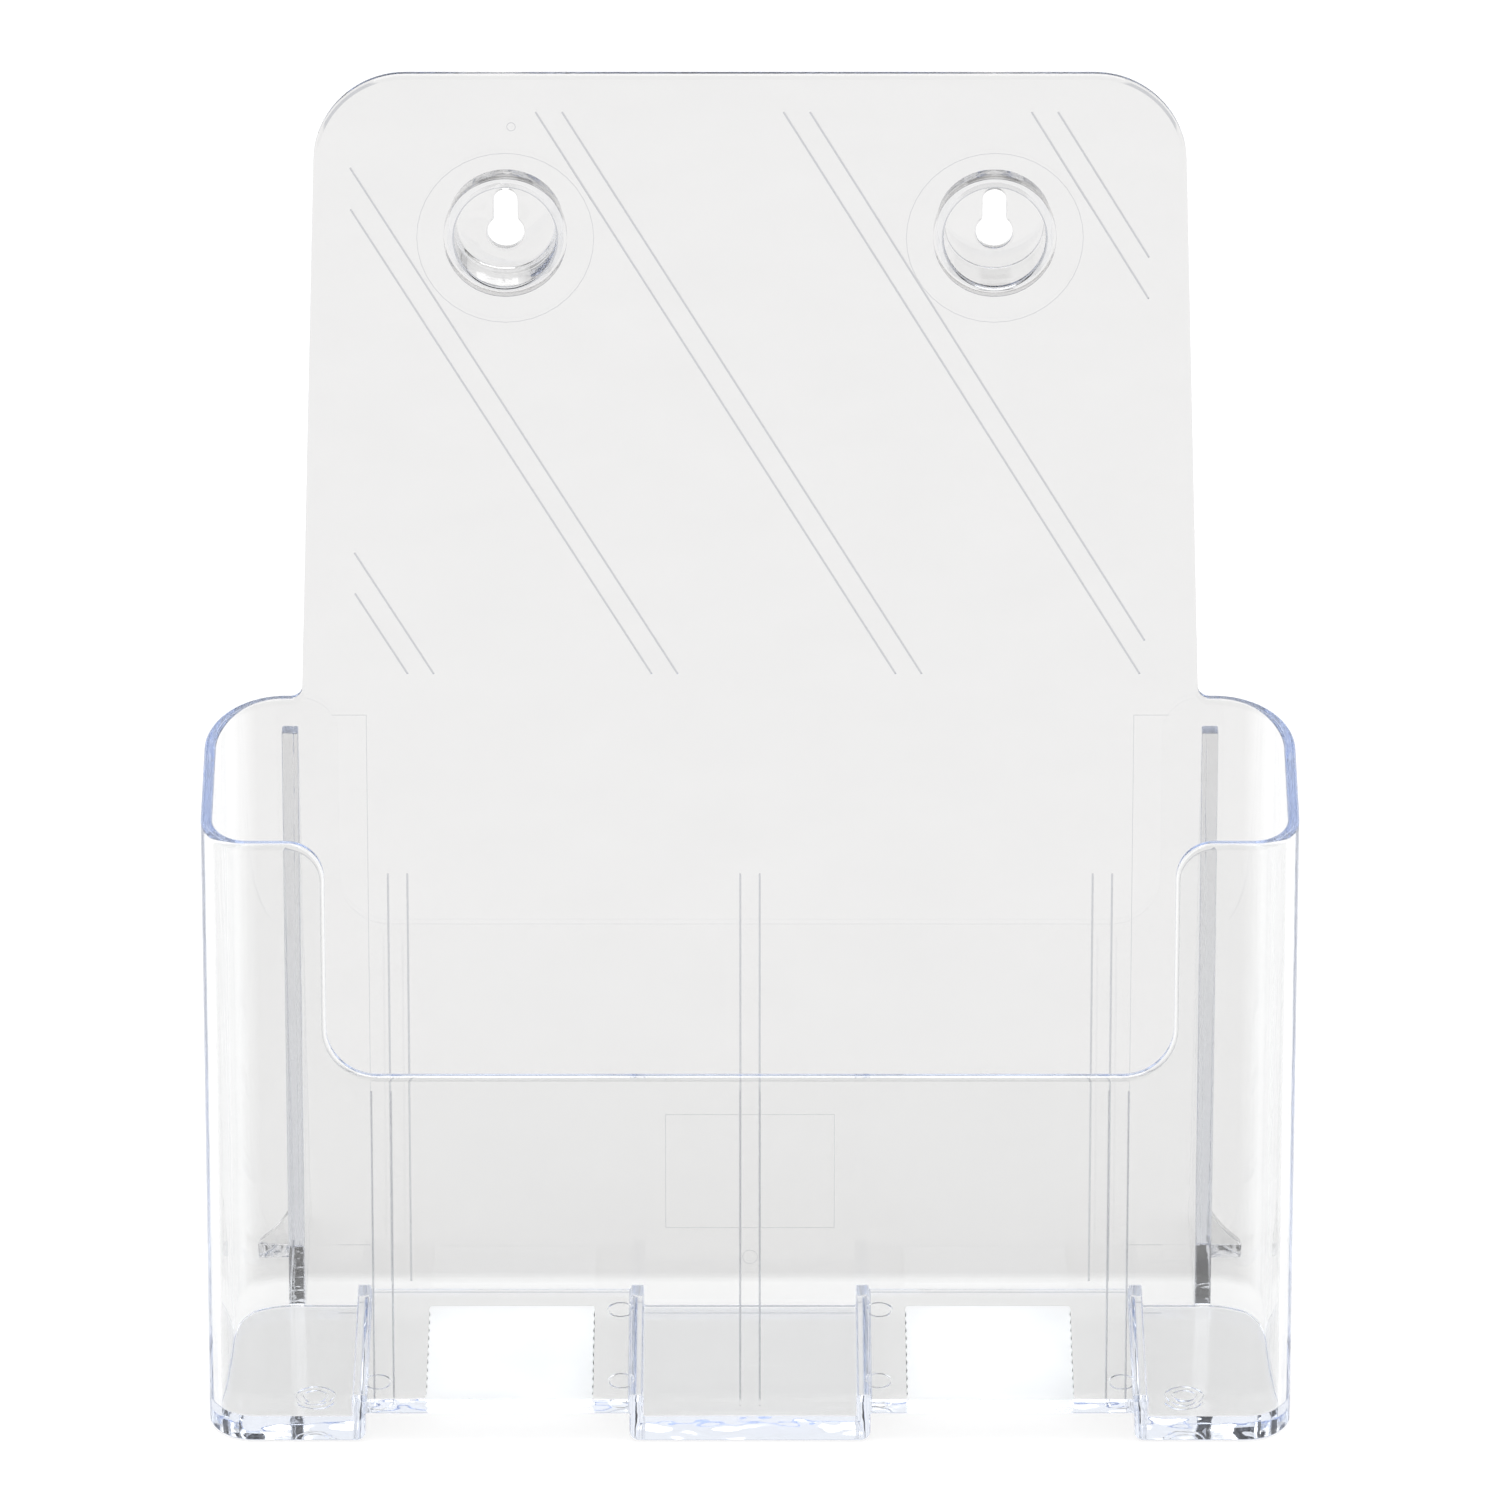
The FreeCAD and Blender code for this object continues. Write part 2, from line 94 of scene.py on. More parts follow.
def rod(name, start, end, radius, endRadius=None, sides=32):
    start, end = Vector(start), Vector(end)
    bpy.ops.object.select_all(action="DESELECT")
    bpy.ops.mesh.primitive_cone_add(
        vertices=sides, radius1=radius, radius2=radius if endRadius is None else endRadius,
        depth=(end - start).length, location=(start + end) / 2,
        rotation=(end - start).to_track_quat("Z", "Y").to_euler())
    piece = bpy.context.object
    piece.name = name
    return settle(piece)


def select(piece, kind, test):  # leaves the piece in edit mode, with only what passes the test selected
    focus(piece)
    bpy.ops.object.mode_set(mode="EDIT")
    bpy.ops.mesh.select_mode(type=kind)
    bpy.ops.mesh.select_all(action="DESELECT")
    mesh = bmesh.from_edit_mesh(piece.data)
    parts = {"VERT": mesh.verts, "EDGE": mesh.edges, "FACE": mesh.faces}[kind]
    found = 0
    for part in parts:
        if test(part):
            part.select_set(True)
            found += 1
    mesh.select_flush_mode()
    bmesh.update_edit_mesh(piece.data)
    return found


def done():
    bpy.ops.object.mode_set(mode="OBJECT")


def middle(edge):
    return (edge.verts[0].co + edge.verts[1].co) / 2


def runs(edge, axis):  # the edge lies along an axis, 0 to 2
    way = edge.verts[1].co - edge.verts[0].co
    return abs(way[axis]) > 0.9 * way.length


def near(a, b, gap=0.2 * mm):
    return abs(a - b) < gap


def roundEdges(piece, test, radius, segments):
    if not select(piece, "EDGE", test):
        print("  nothing to round on", piece.name)
    bpy.ops.mesh.bevel(offset_type="OFFSET", offset=radius, segments=segments, profile=0.5, affect="EDGES")
    done()


def trim(piece, place, facing, clear=False):  # cuts along a plane, and can drop what lies beyond
    focus(piece)
    bpy.ops.object.mode_set(mode="EDIT")
    bpy.ops.mesh.select_all(action="SELECT")
    bpy.ops.mesh.bisect(plane_co=place, plane_no=facing, clear_outer=clear, use_fill=clear)
    done()


def combine(piece, tool, operation, joined=False):
    focus(piece)
    step = piece.modifiers.new("combine", "BOOLEAN")
    step.operation = operation
    step.object = tool
    step.solver = "EXACT"
    step.use_self = joined
    bpy.ops.object.modifier_apply(modifier=step.name)
    bpy.data.objects.remove(tool)


def join(pieces):
    focus(pieces[0])
    for piece in pieces:
        piece.select_set(True)
    bpy.ops.object.join()
    return bpy.context.object


def clean(piece, angle=0.05):  # merges doubles and flat neighbours
    focus(piece)
    bpy.ops.object.mode_set(mode="EDIT")
    bpy.ops.mesh.select_all(action="SELECT")
    bpy.ops.mesh.remove_doubles(threshold=0.002 * mm)
    bpy.ops.mesh.dissolve_limited(angle_limit=radians(angle), use_dissolve_boundaries=False)
    bpy.ops.mesh.select_all(action="SELECT")
    bpy.ops.mesh.normals_make_consistent(inside=False)
    done()


def soften(piece, radius, segments=2, angle=35):  # rounds every hard edge a little
    focus(piece)
    step = piece.modifiers.new("soften", "BEVEL")
    step.width = radius
    step.segments = segments
    step.limit_method = "ANGLE"
    step.angle_limit = radians(angle)
    step.use_clamp_overlap = False
    step.miter_outer = "MITER_ARC"
    bpy.ops.object.modifier_apply(modifier=step.name)


def smooth(piece, angle=40):
    focus(piece)
    bpy.ops.object.shade_smooth_by_angle(angle=radians(angle))
    step = piece.modifiers.new("flats", "WEIGHTED_NORMAL")
    step.keep_sharp = True
    step.weight = 100
    bpy.ops.object.modifier_apply(modifier=step.name)


def mirrored(piece, name):  # a copy on the other side of the rack
    copy = piece.copy()
    copy.data = piece.data.copy()
    copy.name = name
    bpy.context.collection.objects.link(copy)
    focus(copy)
    bpy.ops.object.mode_set(mode="EDIT")
    bpy.ops.mesh.select_all(action="SELECT")
    bpy.ops.transform.mirror(constraint_axis=(True, False, False), center_override=(0, 0, 0))
    bpy.ops.mesh.normals_make_consistent(inside=False)
    done()
    return copy


shell = {
    "frontCorner": 10 * mm,
    "rearCorner": 17 * mm,
    "rimFront": 135 * mm,
    "rimRear": 143 * mm,
    "scoopHeight": 83 * mm,
    "scoopHalf": 90.5 * mm,
    "scoopTopRadius": 8 * mm,
    "scoopFloorRadius": 11 * mm,
    "shoulderHalf": 96.5 * mm,
    "topHalf": 92 * mm,
    "panelCorner": 19 * mm,
    "shoulderFillet": 2.5 * mm,
    "centreHalf": 26 * mm,
    "outerStep": 83 * mm,
    "rail": 2.8 * mm,
    "railHeight": 9.2 * mm,
    "channel": 6.2 * mm,
    "raised": 8.2 * mm,
    "tray": 4.5 * mm,
    "footRound": 2.2 * mm,
    "edge": 0.4 * mm,
    "rimEdge": mm,
    "cupSpacing": 104 * mm,
    "cupHeight": 245.5 * mm,
    "cupFlange": 18.8 * mm,  # the thicker disc that shows as a faint ring
    "cupRoot": 13.1 * mm,
    "seam": 0.03 * mm,  # pieces moulded as one reach this far into each other
    "panelSpare": 0.3 * mm,  # the panel starts this much too thick
    "sharp": 1,  # in radians, edges that turn more than this are corners
    "rimsAbove": 30 * mm,
    "blockAbove": 6 * mm,  # how far the block and the cutters stand over what they shape
    "hollowAbove": 9 * mm,
    "scoopAbove": 20 * mm,
}


def corner(edge):
    return len(edge.link_faces) == 2 and edge.calc_face_angle() > shell["sharp"]


def makeShell():
    half, depth, wall = rack["width"] / 2, rack["depth"], rack["wall"]
    rimFront, rimRear = up(shell["rimFront"]), up(shell["rimRear"])
    body = block("pocket_and_panel", (-half, 0, 0), (half, depth, rimRear + shell["blockAbove"]))
    roundEdges(body, lambda e: runs(e, 2) and middle(e).y < depth / 2, shell["frontCorner"], 12)
    roundEdges(body, lambda e: runs(e, 2) and middle(e).y > depth / 2 and corner(e), shell["rearCorner"], 18)
    slope = atan2(rimRear - rimFront, depth)
    trim(body, (0, 0, rimFront), (0, -sin(slope), cos(slope)), clear=True)

    # the panel grows out of the top at the back and tapers a little; the pocket's cut trims its face
    shoulder, top = shell["shoulderHalf"], up(rack["height"])
    face = depth - wall - shell["panelSpare"]
    trim(body, (0, face, 0), (0, 1, 0))
    for side in (-1, 1):
        trim(body, (side * shoulder, 0, 0), (1, 0, 0))
    select(body, "FACE", lambda f: f.normal.z > 0.9 and f.calc_center_median().y > face
           and abs(f.calc_center_median().x) < shoulder)
    rise = top - rimRear + past
    bpy.ops.mesh.extrude_region_move(TRANSFORM_OT_translate={"value": (0, 0, rise)})
    narrow = (shoulder - shell["topHalf"]) * rise / (top - rimRear)
    bpy.ops.transform.resize(value=(1 - narrow / shoulder, 1, 1), center_override=(0, 0, 0))
    done()
    trim(body, (0, 0, top), (0, 0, 1), clear=True)
    clean(body)
    roundEdges(body, lambda e: runs(e, 1) and near(middle(e).z, top), shell["panelCorner"], 20)

    # channels under the raised floors, between the feet
    for side in (-1, 1):
        a, b = sorted((side * shell["centreHalf"], side * shell["outerStep"]))
        channel = block("channel", (a, -past, -past), (b, depth + past, up(shell["channel"])))
        combine(body, channel, "DIFFERENCE")
    clean(body)
    steps = (shell["centreHalf"], shell["outerStep"])
    roundEdges(body, lambda e: runs(e, 1) and near(middle(e).z, 0)
               and any(near(abs(middle(e).x), step) for step in steps), shell["footRound"], 8)

    # the pocket's inside, stepped down between the rails
    inner = half - wall
    floorHeight = up(shell["railHeight"])
    hollow = block("hollow", (-inner, wall, floorHeight), (inner, depth - wall, top + shell["hollowAbove"]))
    roundEdges(hollow, lambda e: runs(e, 2) and middle(e).y < depth / 2, shell["frontCorner"] - wall, 12)
    roundEdges(hollow, lambda e: runs(e, 2) and middle(e).y > depth / 2 and corner(e),
               shell["rearCorner"] - wall, 18)
    rail = shell["rail"]
    stops = [shell["centreHalf"] - rail, shell["centreHalf"], shell["outerStep"], shell["outerStep"] + rail]
    for stop in stops:
        for side in (-1, 1):
            trim(hollow, (side * stop, 0, 0), (1, 0, 0))

    def lower(low, high, height):
        select(hollow, "FACE", lambda f: f.normal.z < -0.9
               and low < abs(f.calc_center_median().x) < high and f.calc_center_median().z < floorHeight + mm)
        bpy.ops.mesh.extrude_region_move(TRANSFORM_OT_translate={"value": (0, 0, height - floorHeight)})
        done()

    lower(-1, stops[0], up(shell["tray"]))
    lower(stops[1], stops[2], up(shell["raised"]))
    lower(stops[3], half, up(shell["tray"]))
    clean(hollow)
    combine(body, hollow, "DIFFERENCE")

    # the scoop in the front wall
    reach = shell["scoopHalf"]
    scoop = block("scoop", (-reach, -past, up(shell["scoopHeight"])),
                  (reach, depth / 2, rimRear + shell["scoopAbove"]))
    roundEdges(scoop, lambda e: runs(e, 1) and middle(e).z < rimFront, shell["scoopFloorRadius"], 14)
    combine(body, scoop, "DIFFERENCE")
    clean(body, 0.3)
    roundEdges(body, lambda e: runs(e, 1) and near(abs(middle(e).x), reach, 0.5 * mm)
               and near(middle(e).z, rimFront, mm), shell["scoopTopRadius"], 14)
    roundEdges(body, lambda e: runs(e, 1) and near(abs(middle(e).x), shoulder, 0.5 * mm)
               and near(middle(e).z, rimRear, 1.5 * mm), shell["shoulderFillet"], 6)

    # full, soft rims above, small radii on the floors and feet
    roundEdges(body, lambda e: middle(e).z > shell["rimsAbove"] and corner(e), shell["rimEdge"], 4)
    soften(body, shell["edge"], 3)

    for side in (-1, 1):
        x, z = side * shell["cupSpacing"] / 2, up(shell["cupHeight"])
        hole = rod("hole", (x, depth - 2 * past, z), (x, depth + 2 * past, z),
                   shell["cupRoot"] - shell["seam"], sides=96)
        combine(body, hole, "DIFFERENCE")
    return body


shellPiece = makeShell()
print("shell modelled:", len(shellPiece.data.polygons), "faces")


grooves = {
    "radius": 0.22 * mm,
    "deep": 0.2 * mm,
    "stripeAngle": radians(31.3),
    "stripeGap": 5.6 * mm,
    "stripePitch": 52.5 * mm,
    "stripes": 5,
    "stripeInset": 29.6 * mm,
    "fieldHalf": 84.8 * mm,
    "fieldLow": 148.7 * mm,
    "fieldHigh": 273 * mm,
    "lineGap": 4.2 * mm,
    "panelLines": 76.3 * mm,
    "panelLineTop": 103.5 * mm,
    "frontLines": 78.9 * mm,
    "frontLineTop": 80 * mm,
}


def makeGrooves():
    depth, wall = rack["depth"], rack["wall"]
    radius, deep = grooves["radius"], grooves["deep"]
    onPanel, onFront = depth - wall - radius + deep, -radius + deep
    tools = []
    low, high = up(grooves["fieldLow"]), up(grooves["fieldHigh"])
    slope, reach = tan(grooves["stripeAngle"]), grooves["fieldHalf"]
    for stripe in range(grooves["stripes"]):
        for side in (-1, 1):
            x = shell["topHalf"] - grooves["stripeInset"] - stripe * grooves["stripePitch"]
            x += side * grooves["stripeGap"] / 2
            first, last = max(x, -reach), min(x + (high - low) * slope, reach)
            start = (first, onPanel, high - (first - x) / slope)
            end = (last, onPanel, high - (last - x) / slope)
            tools.append(rod("stripe", start, end, radius, sides=12))
    panelSet = (grooves["panelLines"], onPanel, shell["railHeight"] + mm, up(grooves["panelLineTop"]))
    frontSet = (grooves["frontLines"], onFront, shell["railHeight"] - mm, up(grooves["frontLineTop"]))
    for pair in (-1, 0, 1):
        for side in (-1, 1):
            for pitch, level, low, high in (panelSet, frontSet):
                x = pair * pitch + side * grooves["lineGap"] / 2
                tools.append(rod("line", (x, level, low), (x, level, high), radius, sides=12))
    combine(shellPiece, join(tools), "DIFFERENCE", joined=True)


makeGrooves()

marks = {
    "line": 0.2 * mm,
    "deep": 0.17 * mm,
    "ejector": 2.8 * mm,
    "ejectorSpots": ((27.8, 10.5), (28.2, 39), (80.5, 10)),  # in mm from the middle and from the front
    "outerRings": (4.4 * mm, 2.9 * mm),
    "outerSpot": (94, 10),
    "gateRing": 1.6 * mm,
    "gateHeight": 15.6 * mm,
    "labelHalf": 18.4 * mm,
    "labelLow": 22.4 * mm,
    "labelHigh": 48.6 * mm,
    "insertInner": 82.7 * mm,
    "insertOuter": 98.5 * mm,
    "insertLow": 18.4 * mm,
    "insertHigh": 139.4 * mm,
    "dotSpot": (-50.6, 269.8),
    "dot": 0.9 * mm,
    "faint": 0.06 * mm,  # depth of the marks that barely show
}


def ring(centre, radius, facing):
    bpy.ops.object.select_all(action="DESELECT")
    bpy.ops.mesh.primitive_torus_add(
        location=centre, rotation=Vector(facing).to_track_quat("Z", "Y").to_euler(), major_radius=radius,
        minor_radius=marks["line"], major_segments=40, minor_segments=8)
    return settle(bpy.context.object)


def frameLines(left, right, low, high, level):  # four thin rods round a rectangle on the panel
    corners = [(left, level, low), (right, level, low), (right, level, high), (left, level, high)]
    return [rod("edge", corners[n - 1], corners[n], marks["line"], sides=8) for n in range(4)]


def makeMarks():
    off = marks["line"] - marks["deep"]
    onPanel = rack["depth"] - rack["wall"] - marks["line"] + marks["faint"]
    tools = []
    for side in (-1, 1):
        spot = (side * shell["cupSpacing"] / 2, onPanel, up(shell["cupHeight"]))
        tools.append(ring(spot, shell["cupFlange"], (0, 1, 0)))
        for x, y in marks["ejectorSpots"]:
            spot = (side * x * mm, y * mm, up(shell["raised"]) + off)
            tools.append(ring(spot, marks["ejector"], (0, 0, 1)))
        x, y = marks["outerSpot"]
        for radius in marks["outerRings"]:
            tools.append(ring((side * x * mm, y * mm, up(shell["tray"]) + off), radius, (0, 0, 1)))
        left, right = sorted((side * marks["insertInner"], side * marks["insertOuter"]))
        tools += frameLines(left, right, up(marks["insertLow"]), up(marks["insertHigh"]), onPanel)
    tools.append(ring((0, onPanel, up(marks["gateHeight"])), marks["gateRing"], (0, 1, 0)))
    x, z = marks["dotSpot"]
    tools.append(ring((x * mm, onPanel, up(z * mm)), marks["dot"], (0, 1, 0)))
    half = marks["labelHalf"]
    tools += frameLines(-half, half, up(marks["labelLow"]), up(marks["labelHigh"]), onPanel)
    combine(shellPiece, join(tools), "DIFFERENCE", joined=True)


makeMarks()
shellPiece.data.transform(lean)
smooth(shellPiece)
print("grooves cut:", len(shellPiece.data.polygons), "faces")


cup = {
    "mouth": 10.9 * mm,
    "taper": radians(3),
    "wall": 1.75 * mm,
    "floor": 2 * mm,
    "keyRadius": 3.9 * mm,
    "slotRadius": 2.5 * mm,
    "slotRise": 7.6 * mm,
    "keyDrop": 2.2 * mm,
    "lip": 0.5 * mm,
    "ahead": 8 * mm,  # the cone is begun this far in front and cut back to the panel
}


def makeCup():
    depth, wall, back = rack["depth"], rack["wall"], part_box("right_keyhole_cup")[1].y
    x, z = shell["cupSpacing"] / 2, up(shell["cupHeight"])
    flange = rod("right_cup", (x, depth - wall, z), (x, depth, z), shell["cupRoot"], sides=96)
    flange.data.transform(lean)
    height = shell["cupHeight"]
    face = depth - wall + height * tan(rack["lean"]) + frontFoot  # where the axis meets the panel's face
    start = face - cup["ahead"]

    def radiusAt(y):
        return cup["mouth"] - (y - face) * tan(cup["taper"])

    cone = rod("cone", (x, start, height), (x, back, height), radiusAt(start) + cup["wall"],
               radiusAt(back) + cup["wall"], sides=96)
    facing = (lean.to_3x3() @ Vector((0, 0, 1))).cross(Vector((1, 0, 0))).normalized()
    trim(cone, (x, face + wall / 2, height), -facing if facing.y > 0 else facing, clear=True)
    combine(flange, cone, "UNION")
    clean(flange)
    inside = back - cup["floor"]
    hollow = rod("hollow", (x, start, height), (x, inside, height), radiusAt(start),
                 radiusAt(inside), sides=96)
    combine(flange, hollow, "DIFFERENCE")
    low = height - cup["keyDrop"]
    high = low + cup["slotRise"]
    front, rear, half = inside - past, back + past, cup["slotRadius"]
    key = rod("key", (x, front, low), (x, rear, low), cup["keyRadius"], sides=48)
    slot = block("slot", (x - half, front, low), (x + half, rear, high))
    end = rod("end", (x, front, high), (x, rear, high), half, sides=32)
    for tool in (key, slot, end):
        combine(flange, tool, "DIFFERENCE")
    clean(flange)
    # the mouth, the floor and the keyhole are rounded, but the flange runs on into the panel
    rim = cup["mouth"] + cup["lip"]
    axis = Vector((x, 0, height))
    roundEdges(flange, lambda e: e.calc_face_angle() > 0.5
               and ((middle(e) - axis) * Vector((1, 0, 1))).length < rim, cup["lip"], 3)
    smooth(flange)
    return flange


rightCup = makeCup()
leftCup = mirrored(rightCup, "left_cup")
print("cups modelled:", len(rightCup.data.polygons), "faces")

leg = {
    "cap": 3.2 * mm,  # the fin's depth at its top
    "edge": 0.4 * mm,
}


def makeLeg():
    # an upright board whose four corners are drawn to the fin's outline
    low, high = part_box("right_stand_leg")
    half = (low + high) / 2
    fin = block("right_leg", low, high)
    bottomFront = rack["depth"] + frontFoot - shell["seam"]
    topFront = bottomFront + high.z * tan(rack["lean"])
    moves = (
        (lambda v: v.co.z > half.z and v.co.y < half.y, topFront - low.y),
        (lambda v: v.co.z > half.z and v.co.y > high.y - mm, topFront + leg["cap"] - high.y),
        (lambda v: v.co.z < half.z and v.co.y < low.y + mm, bottomFront - low.y),
    )
    for corners, shift in moves:
        select(fin, "VERT", corners)
        bpy.ops.transform.translate(value=(0, shift, 0))
        done()
    soften(fin, leg["edge"], 3)
    smooth(fin)
    return fin


rightLeg = makeLeg()
leftLeg = mirrored(rightLeg, "left_leg")

toe = {
    "shoulder": 2.6 * mm,
    "waist": 8 * mm,
    "neck": 4.4 * mm,
    "tip": 0.2 * mm,
    "waistRound": 4 * mm,
    "shoulderRound": 2 * mm,
    "endRound": mm,
    "edge": 0.35 * mm,
}


def makeToe():
    low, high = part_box("right_leg_toe")
    plate = block("right_toe", (low.x - shell["seam"], low.y, 0), (high.x, high.y, high.z))
    shoulder, waist = low.y + toe["shoulder"], low.y + toe["waist"]
    trim(plate, (0, shoulder, 0), (0, 1, 0))
    trim(plate, (0, waist, 0), (0, 1, 0))
    # the free side is drawn in to the ogee's outline
    for y, width in ((waist, toe["neck"]), (high.y, toe["tip"])):
        select(plate, "VERT", lambda v: v.co.x > low.x + mm and near(v.co.y, y))
        bpy.ops.transform.translate(value=(low.x + width - high.x, 0, 0))
        done()
    rounds = ((waist, toe["waistRound"]), (shoulder, toe["shoulderRound"]), (low.y, toe["endRound"]))
    for y, radius in rounds:
        roundEdges(plate, lambda e: runs(e, 2) and middle(e).x > low.x + mm
                   and near(middle(e).y, y), radius, 8)
    clean(plate)
    soften(plate, toe["edge"], 2, 40)
    smooth(plate)
    return plate


rightToe = makeToe()
leftToe = mirrored(rightToe, "left_toe")

pad = {
    "ridges": 12,
    "ridgeHeight": 0.7 * mm,
    "notch": 0.35 * mm,
    "sink": 0.02 * mm,
}


def makePad():
    low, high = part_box("right_grip_pad")
    piece = block("right_pad", low, (high.x, high.y, high.z + pad["sink"]))
    pitch = (high.y - low.y) / pad["ridges"]
    for step in range(1, 2 * pad["ridges"]):
        trim(piece, (0, low.y + step * pitch / 2, 0), (0, 1, 0))

    def between(v):  # the valleys, which lie between the ridges
        steps = (v.co.y - low.y) / pitch
        return near(steps, round(steps), 0.01)

    select(piece, "VERT", lambda v: between(v) and v.co.z < low.z + 0.1 * mm)
    bpy.ops.transform.translate(value=(0, 0, pad["ridgeHeight"]))
    done()
    for side in (-1, 1):
        edge = high.x if side > 0 else low.x
        select(piece, "VERT", lambda v: between(v) and near(v.co.x, edge))
        bpy.ops.transform.translate(value=(-side * pad["notch"], 0, 0))
        done()
    focus(piece)
    bpy.ops.object.shade_flat()
    return piece


rightPad = makePad()
leftPad = mirrored(rightPad, "left_pad")
print("legs, toes and pads modelled")


class Shade:  # wraps a socket, so that maths on it adds Math nodes
    def __init__(self, tree, socket):
        self.tree = tree
        self.socket = socket

    def math(self, operation, *values):
        return node(self.tree, "ShaderNodeMath", {"operation": operation}, dict(enumerate(values)))

    def __add__(self, other):
        return self.math("ADD", self, other)

    __radd__ = __add__

    def __sub__(self, other):
        return self.math("SUBTRACT", self, other)

    def __rsub__(self, other):
        return self.math("SUBTRACT", other, self)

    def __mul__(self, other):
        return self.math("MULTIPLY", self, other)

    __rmul__ = __mul__


def node(tree, kind, settings=None, inputs=None, output=0):
    made = tree.nodes.new(kind)
    for name, value in (settings or {}).items():
        if name == "stops":
            stops = made.color_ramp.elements
            while len(stops) < len(value):
                stops.new(0.5)
            for stop, (place, colour) in zip(stops, value):
                stop.position = place
                stop.color = colour
        else:
            setattr(made, name, value)
    for name, value in (inputs or {}).items():
        socket = made.inputs[name]
        if isinstance(value, Shade):
            tree.links.new(value.socket, socket)
        else:
            socket.default_value = value
    return Shade(tree, made.outputs[output]) if made.outputs else None


def mixed(share, first, second):  # blends two colours
    return node(share.tree, "ShaderNodeMix", {"data_type": "RGBA"}, {0: share, 6: first, 7: second}, output=2)


def along(vector, axis):  # one number of a vector, 0 to 2
    return node(vector.tree, "ShaderNodeSeparateXYZ", inputs={"Vector": vector}, output=axis)


def ramp(value, limits, low=0, high=1):  # low at the first limit, high at the second
    return node(value.tree, "ShaderNodeMapRange", inputs={
        "Value": value, "From Min": limits[0], "From Max": limits[1], "To Min": low, "To Max": high})


def newMaterial(name):
    material = bpy.data.materials.new(name)
    material.use_nodes = True
    tree = material.node_tree
    tree.nodes.clear()
    return material, tree


clearLook = {
    "ior": 1.57,
    "roughness": 0.012,
    "haze": 0.03,  # roughness added where the moulding is scuffed
    "inside": (0.12, 0.38, 0.93, 1),
    "density": 2.8,
    "flow": 0.012,  # heights of the waves, in mm
    "streaks": 0.02,
    "swirl": 0.55,
    "legWaves": 0.35,
    # painted shade: a dark grey tint laid in the cut lines
    "cutLineShade": (0.4, 0.41, 0.44, 1),
    # one moulding, three tints: the panel's darker tint is painted shade, the floors' lighter tint is painted
    # light
    "walls": (0.94, 0.94, 0.935, 1),
    "panel": (0.75, 0.745, 0.74, 1),
    "floors": (0.98, 0.98, 0.975, 1),
}

clearZones = {  # each pair says where a zone begins and where it is full
    "sides": (104 * mm, 112 * mm),
    "foot": (11 * mm, 9 * mm),
    "frontSkin": (0.6 * mm, 0.2 * mm),
    "legWaves": (3 * mm, 4 * mm),
    "lowLegs": (150 * mm, 90 * mm),
    "behindPanel": (3 * mm, 3.5 * mm),
    "legs": (90 * mm, 91 * mm),
    # where the panel's painted shade and the floors' painted light are laid on
    "panel": (-3.5 * mm, -1.5 * mm),
    "floors": (11 * mm, 9.6 * mm),
    "cutTop": (0.02 * mm, 0.05 * mm),  # how deep into the face a cut shows
    "cutEnd": (0.4 * mm, 0.3 * mm),
    "panelHalf": (90.5 * mm, 90 * mm),
    "panelTop": (279.5 * mm, 279 * mm),
    "frontHalf": (105 * mm, 104 * mm),
    "frontLow": (9 * mm, 10 * mm),
    "frontTop": (82.5 * mm, 82 * mm),
}


